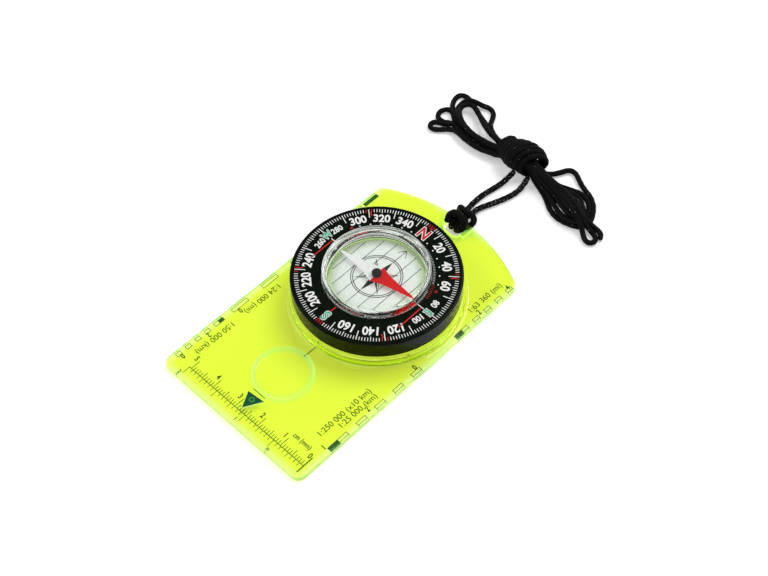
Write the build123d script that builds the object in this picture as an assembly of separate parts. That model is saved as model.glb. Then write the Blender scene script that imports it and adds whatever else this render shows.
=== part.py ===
"""Baseplate compass: clear plate, turning bezel with a liquid capsule, swinging needle, lanyard.

Millimetres, +Z up. The origin is on the table under the middle of the plate,
+Y points to the lanyard end and +X to the plate's right edge.
"""
from build123d import *
import math
import os

# ---- driving dimensions -------------------------------------------------
PLATE_WIDTH = 61.2
PLATE_LENGTH = 106.0
PLATE_THICK = 2.5
FRONT_CORNER_R = 3.0
REAR_CORNER_R = 3.5
REAR_CORNER_Y = 44.6          # where the straight sides meet the bowed rear edge
PLATE_EDGE_R = 0.5

BEZEL_Y = 11.75               # turning axis of bezel and needle: x = 0, y = BEZEL_Y
COLLAR_R = 28.2
COLLAR_TOP = 6.4
COLLAR_CHAMFER = 0.35
COLLAR_FOOT_R = 1.2           # hollow rounding where the collar meets the plate
COLLAR_WALL_R = 26.2          # inside of the raised collar
WEB_TOP = 6.5                 # inner web that carries the capsule
WEB_BOTTOM = 3.7
WEB_OUTER_R = 22.0
WINDOW_R = 20.5               # open window under the capsule
WEB_BORE_R = 18.0

BEZEL_R = 27.45
BEZEL_TOP = 13.4
BEZEL_SKIRT_BOTTOM = 7.0
RUN_GAP = 0.05                # axial clearance of the turning stack
FRICTION_RING_IN = 23.3
FRICTION_RING_OUT = 25.5
FRICTION_RING_THICK = 0.9
RIB_IN = 23.4                 # bezel's rib in the collar's groove
RIB_OUT = 25.6
HUB_OUT = 21.2                # bezel's inner wall round the capsule

CAPSULE_R = 17.3              # outside of the clear cover
COVER_WALL = 1.1
COVER_EDGE_R = 0.9
COVER_INNER_EDGE_R = 0.5
CAPSULE_TOP = 16.5
FLOOR_TOP = 8.6               # moulded floor of the capsule
FLOOR_THICK = 1.5
FLANGE_R = 18.65
SKIRT_R = 17.93               # runs in the web's bore with 0.07 mm radial clearance
SKIRT_NECK_R = 17.2
SKIRT_INNER_R = 16.2
SKIRT_BOTTOM = 2.6
CARD_R = 15.9
CARD_THICK = 0.2
POST_R = 1.3
POST_TOP = 9.4
SEAL_IN = 16.5
SEAL_OUT = 17.1
SEAL_DEPTH = 0.5
PLUG_X = 14.0                 # filling hole in the floor
PLUG_R = 0.8
SNAP_RING_R = 19.9

PIN_R = 0.3
PIN_BOTTOM = 7.9
PIN_TOP = 11.6
NEEDLE_OUTLINE = [            # one side of the hollow-sided blade, from tip to middle: along, across
    (14.8, 0.0), (14.4, 0.32), (11.0, 0.85), (7.5, 1.35), (3.4, 2.15), (0.0, 3.3),
]
NEEDLE_BOTTOM = 10.45
NEEDLE_THICK = 0.3
NEEDLE_ANGLE = 4.3            # red tip, counter-clockwise from +X
HUB_R = 1.55
HUB_TOP = 12.6
BUSH_R = 1.15
JEWEL_R = 0.8
JEWEL_LOW = 11.2
JEWEL_TOP = 12.1

LENS_Y = -29.95
LENS_R = 9.85
LENS_RISE = 1.0
LENS_BEVEL = 0.6              # sloping rim round the dome

SLOT_X = -0.5
SLOT_Y = 47.95
SLOT_LENGTH = 6.8
SLOT_WIDTH = 4.0
RELIEF_DEPTH = 1.95           # under the rear edge, for the hitched cord
RELIEF_WIDTH = 9.4
RELIEF_Y = 48.0

CORD_D = 1.8
SMALL_EDGE = 0.3

AXIS = Axis((0, BEZEL_Y, 0), (0, 0, 1))


# ---- helpers --------------------------------------------------------------
def turned(profile, x=0.0, y=BEZEL_Y):
    """Solid of revolution from (radius, height) points, about a vertical line at x, y."""
    face = make_face(Plane.XZ * Polyline(*profile, close=True))
    return Pos(x, y, 0) * revolve(face, Axis.Z)


def disc(radius, low, high, x=0.0, y=BEZEL_Y):
    """Upright cylinder between two heights."""
    return Pos(x, y, (low + high) / 2) * Cylinder(radius, high - low)


def ring(inner, outer, low, high, y=BEZEL_Y):
    """Flat ring between two heights."""
    return turned([(inner, low), (outer, low), (outer, high), (inner, high)], y=y)


def rounded(solid, circles, size):
    """Fillet every circular edge of the given radii and heights."""
    edges = [
        edge for edge in solid.edges().filter_by(GeomType.CIRCLE)
        if any(abs(edge.radius - r) < 0.01 and abs(edge.center().Z - z) < 0.01 for r, z in circles)
    ]
    return fillet(edges, size)


def arc_radii(points):
    """Largest tidy arc at each corner: 0.45 of the shorter run over tan of half the turn."""
    radii = []
    for before, here, after in zip(points, points[1:], points[2:]):
        run_in = Vector(*here) - Vector(*before)
        run_out = Vector(*after) - Vector(*here)
        turn = math.radians(run_in.get_angle(run_out))
        radii.append(0.45 * min(run_in.length, run_out.length) / math.tan(turn / 2))
    return radii


def cord_tube(name, points):
    """Round cord along straight runs joined by tangent arcs."""
    radii = arc_radii(points)
    path = FilletPolyline(*points, radius=radii)
    section = Plane(origin=path @ 0, z_dir=path % 0) * Circle(CORD_D / 2)
    tube = sweep(section, path=path)
    ideal = math.pi * CORD_D ** 2 / 4 * path.length
    print(name, "length", round(path.length, 1), "volume ratio", round(tube.volume / ideal, 4))
    print(name, "bend radii", [round(r, 1) for r in radii])
    return tube


def mirrored_over_slot(points):
    """The same points on the other side of the slot's middle."""
    return [(2 * SLOT_X - x, y, z) for x, y, z in points]


# ---- plate ----------------------------------------------------------------
def plate_outline():
    """Straight front and sides, bowed rear edge, rounded corners."""
    half = PLATE_WIDTH / 2
    front = -PLATE_LENGTH / 2
    rear = PLATE_LENGTH / 2
    left_rear = (-half, REAR_CORNER_Y)
    right_rear = (half, REAR_CORNER_Y)
    edges = Polyline(left_rear, (-half, front), (half, front), right_rear)
    edges += ThreePointArc(right_rear, (0, rear), left_rear)
    face = make_face(edges)
    corners = face.vertices().sort_by(Axis.Y)
    face = fillet(corners[0:2], FRONT_CORNER_R)
    corners = face.vertices().sort_by(Axis.Y)
    return fillet(corners[-2:], REAR_CORNER_R)


def magnifier_dome():
    """Low spherical cap with a bevelled rim, moulded on the plate's top face."""
    top = PLATE_THICK + LENS_RISE
    rim = PLATE_THICK + LENS_BEVEL
    cap_r = LENS_R - LENS_BEVEL
    cap_rise = top - rim
    ball_r = (cap_r ** 2 + cap_rise ** 2) / (2 * cap_rise)
    half_angle = math.asin(cap_r / ball_r) / 2
    middle = (ball_r * math.sin(half_angle), top - ball_r + ball_r * math.cos(half_angle))
    base = PLATE_THICK - 1.0
    edges = ThreePointArc((cap_r, rim), middle, (0, top))
    edges += Polyline((0, top), (0, base), (LENS_R, base), (LENS_R, PLATE_THICK), (cap_r, rim))
    return Pos(0, LENS_Y, 0) * revolve(make_face(Plane.XZ * edges), Axis.Z)


def collar():
    """Raised ring that carries the bezel: outer wall, groove, inner web and bore."""
    return turned([
        (WEB_BORE_R, WEB_BOTTOM),
        (WEB_BORE_R, WEB_TOP),
        (WEB_OUTER_R, WEB_TOP),
        (WEB_OUTER_R, PLATE_THICK),
        (COLLAR_WALL_R, PLATE_THICK),
        (COLLAR_WALL_R, COLLAR_TOP),
        (COLLAR_R - COLLAR_CHAMFER, COLLAR_TOP),
        (COLLAR_R, COLLAR_TOP - COLLAR_CHAMFER),
        (COLLAR_R, 0.5),
        (WINDOW_R, 0.5),
        (WINDOW_R, WEB_BOTTOM),
    ])


def baseplate():
    """Clear moulded plate with collar, magnifier, cord slot and cord relief."""
    plate = extrude(plate_outline(), PLATE_THICK)
    rims = plate.faces().sort_by(Axis.Z)
    plate = fillet(rims[-1].edges() + rims[0].edges(), PLATE_EDGE_R)
    plate -= disc(WINDOW_R, -1, PLATE_THICK + 1)
    plate += collar()
    plate = rounded(plate, [(COLLAR_R, PLATE_THICK)], COLLAR_FOOT_R)
    plate += magnifier_dome()
    slot = extrude(SlotOverall(SLOT_LENGTH, SLOT_WIDTH), PLATE_THICK + 2)
    plate -= Pos(SLOT_X, SLOT_Y, -1) * slot
    reach = PLATE_LENGTH / 2 + 2 - RELIEF_Y
    relief = Box(RELIEF_WIDTH, reach, 2 * RELIEF_DEPTH)
    plate -= Pos(SLOT_X, RELIEF_Y + reach / 2, 0) * relief
    return plate


def friction_ring():
    """Flat ring in the collar's groove; the bezel's rib slides on it."""
    return ring(FRICTION_RING_IN, FRICTION_RING_OUT, PLATE_THICK, PLATE_THICK + FRICTION_RING_THICK)


# ---- turning bezel and capsule ----------------------------------------------
def bezel_ring():
    """Black graduated ring: outer wall, rib into the collar's groove, hub round the capsule."""
    rib_bottom = PLATE_THICK + FRICTION_RING_THICK + RUN_GAP
    bore = CAPSULE_R + 0.15
    hub_in = FLANGE_R + 0.05
    underside = BEZEL_TOP - 1.8
    shoulder = FLOOR_TOP + 0.1
    body = turned([
        (bore, BEZEL_TOP),
        (BEZEL_R, BEZEL_TOP),
        (BEZEL_R, BEZEL_SKIRT_BOTTOM),
        (RIB_OUT, BEZEL_SKIRT_BOTTOM),
        (RIB_OUT, rib_bottom),
        (RIB_IN, rib_bottom),
        (RIB_IN, underside),
        (HUB_OUT, underside),
        (HUB_OUT, WEB_TOP + 0.5),
        (hub_in, WEB_TOP + 0.5),
        (hub_in, shoulder),
        (bore, shoulder),
    ])
    body = rounded(body, [(BEZEL_R, BEZEL_TOP)], 0.5)
    return rounded(body, [(BEZEL_R, BEZEL_SKIRT_BOTTOM), (bore, BEZEL_TOP)], 0.25)


def capsule_cover():
    """Clear cup, open downward, with a rounded top edge."""
    foot = FLOOR_TOP + 0.05
    inner_r = CAPSULE_R - COVER_WALL
    ceiling = CAPSULE_TOP - COVER_WALL
    cup = turned([
        (0, ceiling),
        (0, CAPSULE_TOP),
        (CAPSULE_R, CAPSULE_TOP),
        (CAPSULE_R, foot),
        (inner_r, foot),
        (inner_r, ceiling),
    ])
    cup = rounded(cup, [(CAPSULE_R, CAPSULE_TOP)], COVER_EDGE_R)
    return rounded(cup, [(inner_r, ceiling)], COVER_INNER_EDGE_R)


def capsule_base():
    """Clear floor with pivot post, seal groove, filler hole and a skirt through the web."""
    floor_low = FLOOR_TOP - FLOOR_THICK
    neck_top = WEB_BOTTOM - RUN_GAP
    body = turned([
        (0, floor_low),
        (0, POST_TOP),
        (POST_R, POST_TOP),
        (POST_R, FLOOR_TOP),
        (SEAL_IN, FLOOR_TOP),
        (SEAL_IN, FLOOR_TOP - SEAL_DEPTH),
        (SEAL_OUT, FLOOR_TOP - SEAL_DEPTH),
        (SEAL_OUT, FLOOR_TOP),
        (FLANGE_R, FLOOR_TOP),
        (FLANGE_R, floor_low),
        (SKIRT_R, floor_low),
        (SKIRT_R, neck_top),
        (SKIRT_NECK_R, neck_top),
        (SKIRT_NECK_R, SKIRT_BOTTOM),
        (SKIRT_INNER_R, SKIRT_BOTTOM),
        (SKIRT_INNER_R, floor_low),
    ])
    body -= disc(PLUG_R, floor_low - 1, FLOOR_TOP + 1, x=PLUG_X)
    body -= disc(PIN_R, PIN_BOTTOM, POST_TOP + 1)
    return body


def capsule_seal():
    """Gasket between the cover's foot and the base."""
    return ring(SEAL_IN, SEAL_OUT, FLOOR_TOP - SEAL_DEPTH, FLOOR_TOP + 0.05)


def dial_card():
    """Thin printed disc on the capsule's floor."""
    return ring(POST_R + 0.05, CARD_R, FLOOR_TOP, FLOOR_TOP + CARD_THICK)


def filler_plug():
    """Plug that closes the liquid's filling hole from below."""
    floor_low = FLOOR_TOP - FLOOR_THICK
    shank = disc(PLUG_R, floor_low, FLOOR_TOP, x=PLUG_X)
    return shank + disc(PLUG_R + 0.5, floor_low - 0.4, floor_low, x=PLUG_X)


def retaining_ring():
    """Snap ring on the skirt's neck, under the collar's web."""
    body = ring(SKIRT_NECK_R, SNAP_RING_R, SKIRT_BOTTOM, WEB_BOTTOM - RUN_GAP)
    return rounded(body, [(SNAP_RING_R, SKIRT_BOTTOM)], SMALL_EDGE)


def pivot_pin():
    """Steel pin with a cone point, pressed into the post."""
    cone = 0.5
    return turned([(0, PIN_BOTTOM), (PIN_R, PIN_BOTTOM), (PIN_R, PIN_TOP - cone), (0, PIN_TOP)])


# ---- needle -----------------------------------------------------------------
def needle_blade():
    """Flat steel diamond with hollow sides, blunt tips and a centre hole."""
    far_side = [(-x, y) for x, y in NEEDLE_OUTLINE[-2::-1]]
    upper = NEEDLE_OUTLINE + far_side
    lower = [(x, -y) for x, y in upper[-2:0:-1]]
    blade = extrude(make_face(Polyline(*upper, *lower, close=True)), NEEDLE_THICK)
    blade -= Cylinder(BUSH_R, 4 * NEEDLE_THICK)
    return Pos(0, BEZEL_Y, NEEDLE_BOTTOM) * Rot(0, 0, NEEDLE_ANGLE) * blade


def needle_bush():
    """Brass bush riveted in the blade; it carries the jewel."""
    low = NEEDLE_BOTTOM - 0.35
    blade_top = NEEDLE_BOTTOM + NEEDLE_THICK
    return turned([
        (JEWEL_R, low), (BUSH_R + 0.3, low), (BUSH_R + 0.3, NEEDLE_BOTTOM),
        (BUSH_R, NEEDLE_BOTTOM), (BUSH_R, blade_top), (JEWEL_R, blade_top),
    ])


def needle_jewel():
    """Cup bearing that sits on the pin's point."""
    apex = PIN_TOP + RUN_GAP
    return turned([
        (0, apex), (0, JEWEL_TOP), (JEWEL_R, JEWEL_TOP), (JEWEL_R, JEWEL_LOW),
        (PIN_R + 0.3, JEWEL_LOW),
    ])


def hub_cap():
    """Black domed cap over the jewel."""
    low = NEEDLE_BOTTOM + NEEDLE_THICK
    cap = turned([
        (JEWEL_R, low), (HUB_R, low), (HUB_R, HUB_TOP), (0, HUB_TOP),
        (0, JEWEL_TOP), (JEWEL_R, JEWEL_TOP),
    ])
    return rounded(cap, [(HUB_R, HUB_TOP)], 0.4)


# ---- lanyard ------------------------------------------------------------------
CORD_LOW = CORD_D / 2 + 0.05   # centre line of a cord that lies on the table
SLOT_RUN = [                   # left strand where it passes through the slot
    (SLOT_X - 2.02, 51.4, CORD_LOW + 0.05),
    (SLOT_X - 1.10, 48.4, CORD_LOW + 0.05),
    (SLOT_X - 0.95, 48.4, 4.3),
    (SLOT_X - 0.95, 53.6, 4.2),
]
STRAND_LEFT = SLOT_RUN + [
    (-2.9, 57.4, 1.5),
    (-3.7, 61.9, CORD_LOW),
    (-3.7, 66.8, CORD_LOW),
    (-2.8, 71.6, CORD_LOW),
    (-2.1, 76.2, 1.3),
    (-1.7, 80.6, 3.2),
]
STRAND_RIGHT = mirrored_over_slot(SLOT_RUN) + [
    (-0.5, 57.3, 1.9),
    (-0.8, 61.2, CORD_LOW),
    (0.8, 65.1, CORD_LOW),
    (2.4, 69.4, CORD_LOW),
    (3.3, 73.9, CORD_LOW),
    (3.3, 77.8, 1.5),
    (2.2, 81.2, 3.2),
]
HITCH_HALF = [                 # from under the plate, round its rear edge, up to the bight
    (SLOT_X - 2.02, 51.4, CORD_LOW + 0.05),
    (SLOT_X - 3.15, 55.02, CORD_LOW + 0.05),
    (SLOT_X - 3.20, 54.9, 5.0),
    (SLOT_X - 1.40, 54.1, 6.3),
]
KNOT_MIDDLE = (-3.2, 85.4)
KNOT_R = 6.2
KNOT_END_R = 4.7
KNOT_HALF = 7.2
HANK_LEFT = [
    (-8.0, 82.4), (-18.2, 81.2), (-24.0, 79.4), (-30.0, 79.6), (-34.8, 76.2), (-38.3, 78.6),
    (-41.2, 86.0), (-41.8, 96.4), (-36.1, 98.0), (-29.8, 99.7), (-25.8, 98.7), (-21.7, 92.4),
    (-8.0, 88.0),
]
HANK_RIGHT = [
    (1.0, 81.4), (9.0, 80.6), (15.7, 76.8), (25.3, 75.6), (34.5, 74.9), (37.6, 77.6),
    (36.9, 82.0), (30.6, 83.4), (26.6, 89.6), (19.6, 92.6), (12.6, 97.0), (8.8, 94.4),
    (6.2, 89.6), (1.0, 88.6),
]
HANK_HEIGHT = 5.2


def knot():
    """Outer shape of the wrapped knot: a barrel along X that lies on the table."""
    x, y = KNOT_MIDDLE
    edges = ThreePointArc((KNOT_HALF, KNOT_END_R), (0, KNOT_R), (-KNOT_HALF, KNOT_END_R))
    edges += Polyline(
        (-KNOT_HALF, KNOT_END_R), (-KNOT_HALF, 0), (KNOT_HALF, 0), (KNOT_HALF, KNOT_END_R),
    )
    return Pos(x, y, KNOT_R + 0.05) * revolve(make_face(edges), Axis.X)


def hank(outline):
    """Outer shape of a flat bunch of loops: its plan outline with rounded rims."""
    body = extrude(make_face(Polyline(*outline, close=True)), HANK_HEIGHT)
    body = fillet(body.edges().filter_by(Axis.Z), 0.9)
    return chamfer(body.faces().sort_by(Axis.Z)[-1].edges(), 0.7)


# ---- write ----------------------------------------------------------------------
def write(name, shape):
    export_step(shape, f"parts/{name}.step")


os.makedirs("parts", exist_ok=True)
write("baseplate", baseplate())
write("friction_ring", friction_ring())
write("bezel_ring", bezel_ring())
write("capsule_cover", capsule_cover())
write("capsule_base", capsule_base())
write("capsule_seal", capsule_seal())
write("dial_card", dial_card())
write("filler_plug", filler_plug())
write("retaining_ring", retaining_ring())
write("pivot_pin", pivot_pin())
write("needle_blade", needle_blade())
write("needle_bush", needle_bush())
write("needle_jewel", needle_jewel())
write("hub_cap", hub_cap())
write("lanyard_strand_left", cord_tube("lanyard_strand_left", STRAND_LEFT))
write("lanyard_strand_right", cord_tube("lanyard_strand_right", STRAND_RIGHT))
hitch_route = HITCH_HALF + mirrored_over_slot(HITCH_HALF)[::-1]
write("lanyard_hitch", cord_tube("lanyard_hitch", hitch_route))
write("lanyard_knot", knot())
write("lanyard_hank_left", hank(HANK_LEFT))
write("lanyard_hank_right", hank(HANK_RIGHT))
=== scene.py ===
"""Baseplate compass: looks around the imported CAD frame. Metres; MM turns millimetres into metres."""

import math
import random

import bpy
import numpy as np
from mathutils import Matrix, Vector


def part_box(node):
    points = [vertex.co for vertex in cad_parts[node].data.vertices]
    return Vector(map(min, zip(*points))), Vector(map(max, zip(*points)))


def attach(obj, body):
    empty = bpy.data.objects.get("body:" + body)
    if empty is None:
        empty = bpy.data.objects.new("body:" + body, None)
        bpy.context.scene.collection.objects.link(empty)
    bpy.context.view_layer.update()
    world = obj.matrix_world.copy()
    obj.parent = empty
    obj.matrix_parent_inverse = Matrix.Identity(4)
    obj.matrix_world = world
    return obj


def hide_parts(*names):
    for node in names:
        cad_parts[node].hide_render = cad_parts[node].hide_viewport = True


MM = 0.001
TAU = 2 * math.pi

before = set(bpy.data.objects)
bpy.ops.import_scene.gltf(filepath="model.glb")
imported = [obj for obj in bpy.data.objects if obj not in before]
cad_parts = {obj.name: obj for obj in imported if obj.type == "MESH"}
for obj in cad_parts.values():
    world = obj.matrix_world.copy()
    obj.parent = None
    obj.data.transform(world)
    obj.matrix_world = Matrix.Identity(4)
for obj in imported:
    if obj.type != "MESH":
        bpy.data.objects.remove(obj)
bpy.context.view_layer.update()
scene = bpy.context.scene

# ---- places, taken from the CAD frame ----
bezel_low, bezel_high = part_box("bezel_ring")
cover_low, cover_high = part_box("capsule_cover")
card_low, card_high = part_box("dial_card")
plate_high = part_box("baseplate")[1]
AXIS_Y = (bezel_low.y + bezel_high.y) / 2
AXIS_Y_MM = AXIS_Y / MM
BEZEL_TOP = bezel_high.z
CARD_TOP = card_high.z
CARD_R = (card_high.x - card_low.x) / 2
COVER_R = (cover_high.x - cover_low.x) / 2

# ---- places inside the nodes, which their boxes don't give ----
PLATE_TOP = 2.5 * MM
COVER_WALL = 1.1 * MM
HAIR = 0.01 * MM              # gap that keeps two faces from lying in one plane
INK = 0.03 * MM               # thickness of a printed layer
# in millimetres:
COLLAR_R = 29.0
SLOT_X, SLOT_Y = -0.5, 51.0
LENS_Y = -29.95
CORD_D = 1.8


# ---- camera ----
def place_camera():
    """High three-quarter view from the front right corner."""
    azimuth = math.radians(45.24)
    elevation = math.radians(53.5)
    roll = math.radians(-1.51)
    target = Vector((0.0, 14.82, 2.5)) * MM
    distance = 467.3 * MM
    back = Vector((
        math.sin(azimuth) * math.cos(elevation),
        -math.cos(azimuth) * math.cos(elevation),
        math.sin(elevation),
    ))
    right = Vector((0, 0, 1)).cross(back).normalized()
    up = back.cross(right)
    across = math.cos(roll) * right + math.sin(roll) * up
    upward = -math.sin(roll) * right + math.cos(roll) * up
    data = bpy.data.cameras.new("camera")
    data.sensor_width = 36
    data.lens = 68.24
    data.clip_start = 0.01
    data.clip_end = 10
    camera = bpy.data.objects.new("camera", data)
    turn = Matrix((across, upward, back)).transposed().to_4x4()
    camera.matrix_world = Matrix.Translation(target + distance * back) @ turn
    scene.collection.objects.link(camera)
    scene.camera = camera


place_camera()


# ---- materials: helpers ----
def new_material(name):
    """A node material with a Principled shader; returns (material, tree, shader)."""
    material = bpy.data.materials.new(name)
    material.use_nodes = True
    tree = material.node_tree
    shader = tree.nodes["Principled BSDF"]
    return material, tree, shader


def put(node, which, value):
    """Gives a node's input a fixed value, or joins another node's output to it."""
    if isinstance(value, bpy.types.NodeSocket):
        node.id_data.links.new(value, node.inputs[which])
    else:
        node.inputs[which].default_value = value


def add(tree, kind, **values):
    """Adds a node; values are attributes, or inputs when the name starts with in_."""
    node = tree.nodes.new(kind)
    for key, value in values.items():
        if key.startswith("in_"):
            put(node, key[3:].replace("_", " "), value)
        else:
            setattr(node, key, value)
    return node


def object_coords(tree):
    """Positions in the shared frame, in metres."""
    return add(tree, "ShaderNodeTexCoord").outputs["Object"]


def noise(tree, scale, detail, coords=None):
    """Noise around 0.5; scale is in features per metre, unless other coordinates are given."""
    node = add(tree, "ShaderNodeTexNoise", in_Scale=scale, in_Detail=detail)
    put(node, "Vector", coords or object_coords(tree))
    return node.outputs["Fac"]


def ramp(tree, factor, stops):
    """Colour ramp; stops are (place, colour)."""
    node = add(tree, "ShaderNodeValToRGB")
    elements = node.color_ramp.elements
    while len(elements) < len(stops):
        elements.new(0.5)
    for element, (place, colour) in zip(elements, stops):
        element.position = place
        element.color = (*colour, 1)
    put(node, "Fac", factor)
    return node.outputs["Color"]


def remap(tree, value, low, high, to_low, to_high):
    """A value moved from one range to another, and kept inside it."""
    node = add(tree, "ShaderNodeMapRange")
    for which, given in enumerate((value, low, high, to_low, to_high)):
        put(node, which, given)
    return node.outputs[0]


def blend(tree, factor, first, second):
    """Colour between first and second; each is a colour or a socket."""
    node = add(tree, "ShaderNodeMix", data_type="RGBA")
    put(node, "Factor", factor)
    for which, value in ((6, first), (7, second)):
        put(node, which, (*value, 1) if isinstance(value, tuple) else value)
    return node.outputs[2]


def upright_share(tree):
    """1 on upright walls, 0 on level faces."""
    normal = add(tree, "ShaderNodeNewGeometry").outputs["Normal"]
    split = add(tree, "ShaderNodeSeparateXYZ")
    put(split, 0, normal)
    size = add(tree, "ShaderNodeMath", operation="ABSOLUTE")
    put(size, 0, split.outputs["Z"])
    return remap(tree, size.outputs[0], 0.3, 0.8, 1, 0)


def away_from(tree, x, y, near, far):
    """0 within the near distance of the upright line at x, y, 1 beyond the far one; millimetres."""
    flat = add(tree, "ShaderNodeVectorMath", operation="MULTIPLY")
    put(flat, 1, (1, 1, 0))
    put(flat, 0, object_coords(tree))
    gap = add(tree, "ShaderNodeVectorMath", operation="DISTANCE")
    put(gap, 1, (x * MM, y * MM, 0))
    put(gap, 0, flat.outputs[0])
    return remap(tree, gap.outputs["Value"], near * MM, far * MM, 0, 1)


def bump(tree, shader, height, strength, distance):
    """Fine relief on a shader."""
    node = add(tree, "ShaderNodeBump", in_Strength=strength, in_Distance=distance)
    put(node, "Height", height)
    put(shader, "Normal", node.outputs["Normal"])


def mix_shaders(tree, factor, first, second):
    """The surface between two shader nodes' surfaces; at factor 1 it is the second."""
    mix = add(tree, "ShaderNodeMixShader")
    put(mix, 0, factor)
    put(mix, 1, first.outputs[0])
    put(mix, 2, second.outputs[0])
    return mix


def show(tree, surface):
    """Makes a shader node the material's surface."""
    put(tree.nodes["Material Output"], "Surface", surface.outputs[0])


def lets_light_through(tree, surface, tint):
    """Lamp rays and rays between dull surfaces pass the clear piece unbent, with a tint on each face."""
    path = add(tree, "ShaderNodeLightPath")
    clear = add(tree, "ShaderNodeBsdfTransparent", in_Color=(*tint, 1))
    for ray in ("Is Diffuse Ray", "Is Shadow Ray"):
        surface = mix_shaders(tree, path.outputs[ray], surface, clear)
    show(tree, surface)


# ---- materials ----
ACRYLIC_IOR = 1.49
EDGE_GLOW_BAND = (-2.8, -0.2)      # the plate's paler edge, a painted glow for the light piped to the outline: where it starts and where it is full, in millimetres
WELD_R = (15.8, 16.1)         # the frosted weld under the cover's wall, which also carries a painted glow
WELD_Z = (6.9, 7.2)
# the painted refraction ring inside the magnifier's rim: where it rises and where it falls, in millimetres
PAINTED_LENS_BAND = ((8.0, 8.9), (9.7, 10.3))
FILM_R = (11.5, 15.5)         # where the card's film turns from milky to clear
# where the film takes a painted green cast, for green light from the acrylic
FILM_GREEN_LIGHT_R = (12.2, 15.9)


def near_edge(tree):
    """1 at the plate's outline, 0 some millimetres inside it."""
    size = add(tree, "ShaderNodeVectorMath", operation="ABSOLUTE")
    put(size, 0, object_coords(tree))
    past = add(tree, "ShaderNodeVectorMath", operation="SUBTRACT")
    put(past, 1, (plate_high.x, plate_high.y, 1))
    put(past, 0, size.outputs[0])
    split = add(tree, "ShaderNodeSeparateXYZ")
    put(split, 0, past.outputs[0])
    most = add(tree, "ShaderNodeMath", operation="MAXIMUM")
    put(most, 0, split.outputs["X"])
    put(most, 1, split.outputs["Y"])
    start, full = EDGE_GLOW_BAND
    return remap(tree, most.outputs[0], start * MM, full * MM, 0, 1)


def weld_glow_share(tree):
    """1 on the capsule floor's flange, under the cover's wall; 0 in the window and on the skirt."""
    rim = away_from(tree, 0, AXIS_Y_MM, *WELD_R)
    split = add(tree, "ShaderNodeSeparateXYZ")
    put(split, 0, object_coords(tree))
    start, full = WELD_Z
    high = remap(tree, split.outputs["Z"], start * MM, full * MM, 0, 1)
    node = add(tree, "ShaderNodeMath", operation="MULTIPLY")
    put(node, 0, rim)
    put(node, 1, high)
    return node.outputs[0]


def painted_lens_ring(tree):
    """1 on a soft band just inside the magnifier's rim, where a painted ring stands in for the refraction
    at the dome's rim.
    """
    node = add(tree, "ShaderNodeMath", operation="SUBTRACT", use_clamp=True)
    for which, (near, far) in enumerate(PAINTED_LENS_BAND):
        put(node, which, away_from(tree, 0, LENS_Y, near, far))
    return node.outputs[0]


def acrylic_green():
    """Fluorescent clear acrylic: tinted glass; a paler painted tint and a painted glow (emission) on its
    upright walls, strongest on the outer ones, stand in for the light the acrylic pipes to its edges.
    """
    material, tree, shader = new_material("acrylic_green")
    put(shader, "Transmission Weight", 1.0)
    put(shader, "IOR", ACRYLIC_IOR)
    outside = away_from(tree, 0, AXIS_Y_MM, COLLAR_R - 0.4, COLLAR_R + 0.4)
    # Painted glow: a greener tint round the lanyard slot stands in for the light the slot's walls pipe.
    off_slot_glow = away_from(tree, SLOT_X, SLOT_Y, 3.5, 7.5)
    clear = ramp(tree, noise(tree, 60, 3), [(0.3, (0.77, 0.885, 0.095)), (0.7, (0.785, 0.90, 0.115))])
    # Painted light: the paler tint at the outline, the greener tint round the slot and the ring inside the
    # magnifier stand in for light that the acrylic pipes and bends there.
    edge, slot, lens = (0.80, 0.985, 0.60), (0.40, 0.95, 0.22), (0.58, 0.95, 0.30)
    flat = blend(tree, near_edge(tree), clear, edge)
    flat = blend(tree, off_slot_glow, slot, flat)
    flat = blend(tree, painted_lens_ring(tree), flat, lens)
    # Painted light: the paler tint of the upright walls stands in for the light the acrylic pipes to its
    # edges.
    collar_wall, outer_wall = (0.80, 0.97, 0.20), (0.74, 1.0, 0.45)
    walls = blend(tree, outside, collar_wall, outer_wall)
    upright = upright_share(tree)
    put(shader, "Base Color", blend(tree, upright, flat, walls))
    rough = remap(tree, noise(tree, 900, 2), 0.3, 0.7, 0.0, 0.03)
    put(shader, "Roughness", rough)
    bump(tree, shader, noise(tree, 180, 2), 0.04, 0.0002)
    # Painted glow: emission on the upright walls, and a faint one on the level faces, which no lamp gives.
    wall_glow = blend(tree, outside, (0.04, 0.06, 0.0), (0.30, 0.50, 0.12))
    glow = blend(tree, upright, (0.02, 0.03, 0.0), wall_glow)
    put(shader, "Emission Color", glow)
    put(shader, "Emission Strength", 1.0)
    lets_light_through(tree, shader, (0.92, 0.98, 0.42))
    return material


def ring_green():
    """The retaining ring: deeper green clear plastic."""
    material, tree, shader = new_material("ring_green")
    put(shader, "Transmission Weight", 0.8)
    put(shader, "IOR", ACRYLIC_IOR)
    tint = ramp(tree, noise(tree, 200, 3), [(0.3, (0.50, 0.72, 0.10)), (0.7, (0.56, 0.78, 0.14))])
    put(shader, "Base Color", tint)
    rough = remap(tree, noise(tree, 900, 2), 0.3, 0.7, 0.02, 0.10)
    put(shader, "Roughness", rough)
    lets_light_through(tree, shader, (0.72, 0.86, 0.30))
    return material


def black_plastic(name, roughness, colour, gloss):
    """Moulded black plastic with faint smears."""
    material, tree, shader = new_material(name)
    lighter = tuple(c * 1.6 + 0.001 for c in colour)
    tint = ramp(tree, noise(tree, 400, 3), [(0.35, colour), (0.7, lighter)])
    put(shader, "Base Color", tint)
    rough = remap(tree, noise(tree, 1500, 3), 0.3, 0.7, roughness, roughness + 0.08)
    put(shader, "Roughness", rough)
    bump(tree, shader, noise(tree, 3500, 2), 0.04, 0.00005)
    put(shader, "Specular IOR Level", gloss)
    return material


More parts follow.
